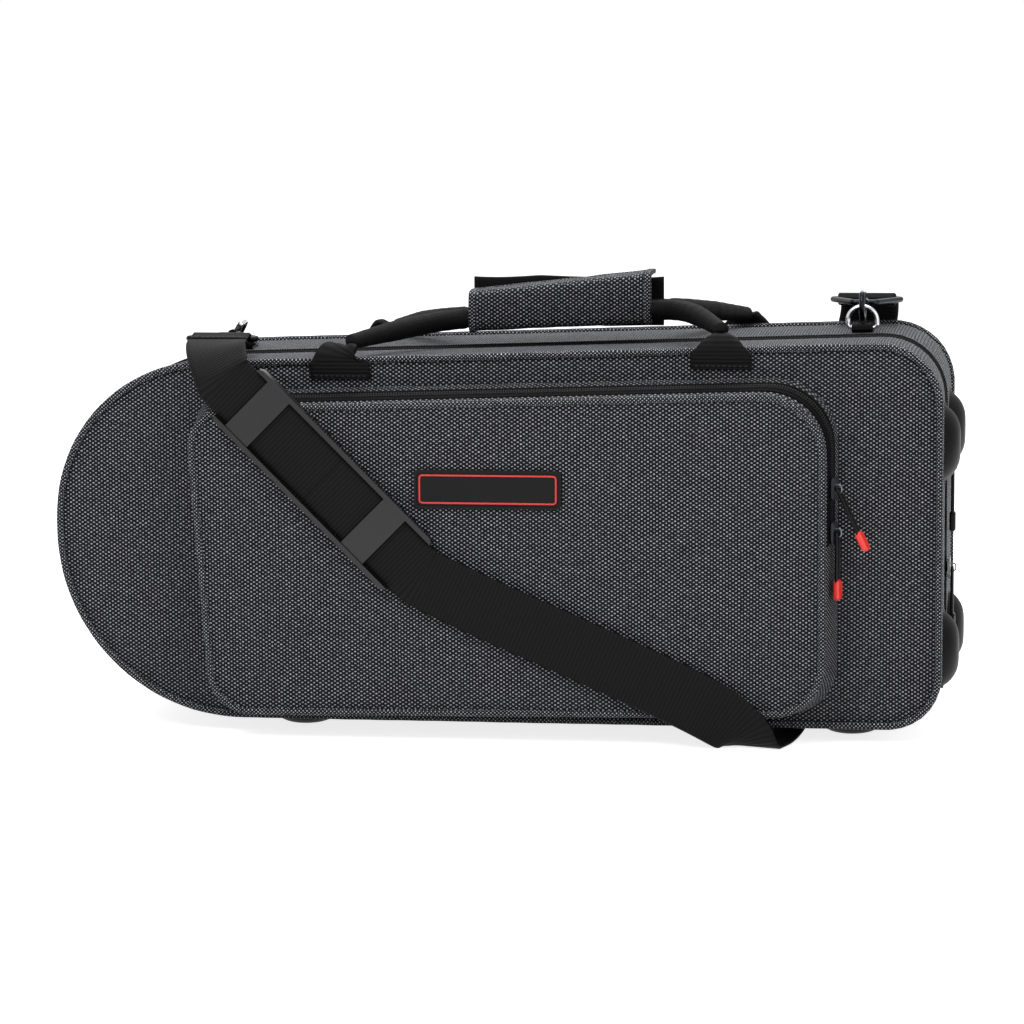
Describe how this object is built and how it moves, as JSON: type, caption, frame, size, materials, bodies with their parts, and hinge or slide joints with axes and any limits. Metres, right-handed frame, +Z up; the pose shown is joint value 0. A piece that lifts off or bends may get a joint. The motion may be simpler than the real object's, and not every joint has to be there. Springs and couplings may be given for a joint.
{
  "type": "trumpet case",
  "caption": "Soft zipped trumpet case with a front pocket, twin wrapped carrying handles, rubber feet and a webbing shoulder strap on snap hooks.",
  "frame": {"origin": "centre of the bounding box in plan, on the floor under the feet", "axes": "+X towards the flat end, -X towards the round bell end, +Y towards the back of the case, +Z up"},
  "size_m": [0.5692, 0.2389, 0.2882],
  "materials": {
    "ballistic_nylon": "woven ballistic nylon over foam, charcoal",
    "binding_nylon": "woven nylon piping over cord, black",
    "zipper_tape": "woven polyester tape and nylon coil, black",
    "webbing": "ribbed nylon webbing, black",
    "plush": "short plush over foam, black",
    "hook_loop_fabric": "hook and loop flap, black",
    "foot_rubber": "moulded rubber, satin black",
    "badge_rubber": "moulded soft rubber with a red key line",
    "pad_rubber": "moulded non-slip rubber, matt black",
    "chromed_wire": "polished nickel-chrome plate",
    "slider_metal": "black electrophoretic paint over zinc",
    "pull_cord": "black coated cord",
    "pull_red": "moulded red plastic",
    "adjuster_plastic": "acetal, fine matt texture, black"
  },
  "bodies": {
    "base": {"base_shell": "ballistic_nylon", "base_piping": "binding_nylon", "main_zipper_base_side": "zipper_tape", "hinge_tape_base_side": "zipper_tape", "base_bottom_feet": "foot_rubber", "base_end_feet": "foot_rubber", "base_liner": "plush", "foam_insert_upper": "plush", "foam_insert_lower": "plush", "rear_handle_tabs": "webbing", "d_ring_tabs": "webbing", "strap_under": "webbing", "strap_back": "webbing", "strap_adjuster": "adjuster_plastic", "strap_end_left": "webbing", "strap_end_right": "webbing", "hook_eye_left": "chromed_wire", "hook_eye_right": "chromed_wire"},
    "lid": {"lid_shell": "ballistic_nylon", "lid_piping": "binding_nylon", "main_zipper_lid_side": "zipper_tape", "hinge_tape_lid_side": "zipper_tape", "lid_bottom_feet": "foot_rubber", "lid_end_feet": "foot_rubber", "pocket_gusset": "ballistic_nylon", "pocket_panel": "ballistic_nylon", "pocket_piping": "binding_nylon", "pocket_zipper": "zipper_tape", "badge": "badge_rubber", "lid_liner": "plush", "front_handle_tabs": "webbing", "strap_front_upper": "webbing", "strap_front_lower": "webbing"},
    "front_carry_handle": {"front_handle": "webbing", "grip_wrap": "hook_loop_fabric"},
    "rear_carry_handle": {"rear_handle": "webbing", "grip_flap": "hook_loop_fabric"},
    "bin_lid": {"accessory_bin_lid": "plush"},
    "pad": {"shoulder_pad": "pad_rubber"},
    "main_upper_zip_slider": {"main_upper_slider": "slider_metal"},
    "main_upper_zip_pull": {"main_upper_pull": "pull_cord", "main_upper_pull_tip": "pull_red"},
    "main_lower_zip_slider": {"main_lower_slider": "slider_metal"},
    "main_lower_zip_pull": {"main_lower_pull": "pull_cord", "main_lower_pull_tip": "pull_red"},
    "pocket_upper_zip_slider": {"pocket_upper_slider": "slider_metal"},
    "pocket_upper_zip_pull": {"pocket_upper_pull": "pull_cord", "pocket_upper_pull_tip": "pull_red"},
    "pocket_lower_zip_slider": {"pocket_lower_slider": "slider_metal"},
    "pocket_lower_zip_pull": {"pocket_lower_pull": "pull_cord", "pocket_lower_pull_tip": "pull_red"},
    "ring_left": {"d_ring_left": "chromed_wire"},
    "claw_left": {"hook_claw_left": "chromed_wire"},
    "gate_left": {"hook_gate_left": "chromed_wire"},
    "ring_right": {"d_ring_right": "chromed_wire"},
    "claw_right": {"hook_claw_right": "chromed_wire"},
    "gate_right": {"hook_gate_right": "chromed_wire"}
  },
  "joints": [
    {"name": "lid_hinge", "type": "hinge", "parent": "base", "child": "lid", "pos_m": [0.04562, 0.00315, 0.0102], "axis": [1, 0, 0], "range_deg": [0, 100], "deforming": ["strap_under"]},
    {"name": "front_handle_swing", "type": "hinge", "parent": "lid", "child": "front_carry_handle", "pos_m": [-0.09438, -0.07885, 0.248], "axis": [0.9993, 0, 0.0386], "range_deg": [0, 168]},
    {"name": "rear_handle_swing", "type": "hinge", "parent": "base", "child": "rear_carry_handle", "pos_m": [-0.09438, 0.10115, 0.248], "axis": [0.9993, 0, 0.0386], "range_deg": [-168, 0]},
    {"name": "bin_lid_hinge", "type": "hinge", "parent": "base", "child": "bin_lid", "pos_m": [0.16362, 0.01285, 0.171], "axis": [1, 0, 0], "range_deg": [0, 85]},
    {"name": "pad_slide", "type": "slide", "parent": "lid", "child": "pad", "axis": [0.7071, 0, -0.7071], "range_m": [-0.008, 0.008]},
    {"name": "main_upper_slider_run", "type": "slide", "parent": "base", "child": "main_upper_zip_slider", "axis": [0, 0, 1], "range_m": [0, 0.038]},
    {"name": "main_upper_pull_swing", "type": "hinge", "parent": "main_upper_zip_slider", "child": "main_upper_zip_pull", "pos_m": [0.27863, 0.00315, 0.165], "axis": [0, -1, 0], "range_deg": [0, 150]},
    {"name": "main_lower_slider_run", "type": "slide", "parent": "base", "child": "main_lower_zip_slider", "axis": [0, 0, 1], "range_m": [-0.034, 0]},
    {"name": "main_lower_pull_swing", "type": "hinge", "parent": "main_lower_zip_slider", "child": "main_lower_zip_pull", "pos_m": [0.27863, 0.00315, 0.1], "axis": [0, -1, 0], "range_deg": [0, 150]},
    {"name": "pocket_upper_slider_run", "type": "slide", "parent": "lid", "child": "pocket_upper_zip_slider", "axis": [0, 0, 1], "range_m": [0, 0.02]},
    {"name": "pocket_upper_pull_swing", "type": "hinge", "parent": "pocket_upper_zip_slider", "child": "pocket_upper_zip_pull", "pos_m": [0.21199, -0.09686, 0.161], "axis": [-0.2905, -0.9569, 0], "range_deg": [0, 100]},
    {"name": "pocket_lower_slider_run", "type": "slide", "parent": "lid", "child": "pocket_lower_zip_slider", "axis": [0, 0, 1], "range_m": [-0.001, 0]},
    {"name": "pocket_lower_pull_swing", "type": "hinge", "parent": "pocket_lower_zip_slider", "child": "pocket_lower_zip_pull", "pos_m": [0.21199, -0.09686, 0.134], "axis": [-0.2905, -0.9569, 0], "range_deg": [0, 45]},
    {"name": "ring_left_tip", "type": "hinge", "parent": "base", "child": "ring_left", "pos_m": [-0.18438, 0.02115, 0.23771], "axis": [1, 0, 0], "range_deg": [-10, 4]},
    {"name": "hook_left_swivel", "type": "hinge", "parent": "base", "child": "claw_left", "pos_m": [-0.18438, 0.00755, 0.2465], "axis": [0, -1, 0], "range_deg": [-8, 58]},
    {"name": "gate_left_spring", "type": "hinge", "parent": "claw_left", "child": "gate_left", "pos_m": [-0.18114, 0.0013, 0.25211], "axis": [-0.866, 0, 0.5], "range_deg": [0, 25], "stiffness_Nm_per_rad": 0.02, "springref_deg": -20.05},
    {"name": "ring_right_tip", "type": "hinge", "parent": "base", "child": "ring_right", "pos_m": [0.21962, 0.02115, 0.25115], "axis": [1, 0, 0], "range_deg": [-10, 10]},
    {"name": "hook_right_swivel", "type": "hinge", "parent": "base", "child": "claw_right", "pos_m": [0.21962, 0.02415, 0.2656], "axis": [0, 1, 0], "range_deg": [-34, 34]},
    {"name": "gate_right_spring", "type": "hinge", "parent": "claw_right", "child": "gate_right", "pos_m": [0.21962, 0.0304, 0.27207], "axis": [1, 0, 0], "range_deg": [0, 25], "stiffness_Nm_per_rad": 0.02, "springref_deg": -20.05}
  ],
  "couplings": [
    {"joint": "rear_handle_swing", "follows": "front_handle_swing", "ratio": -1}
  ]
}
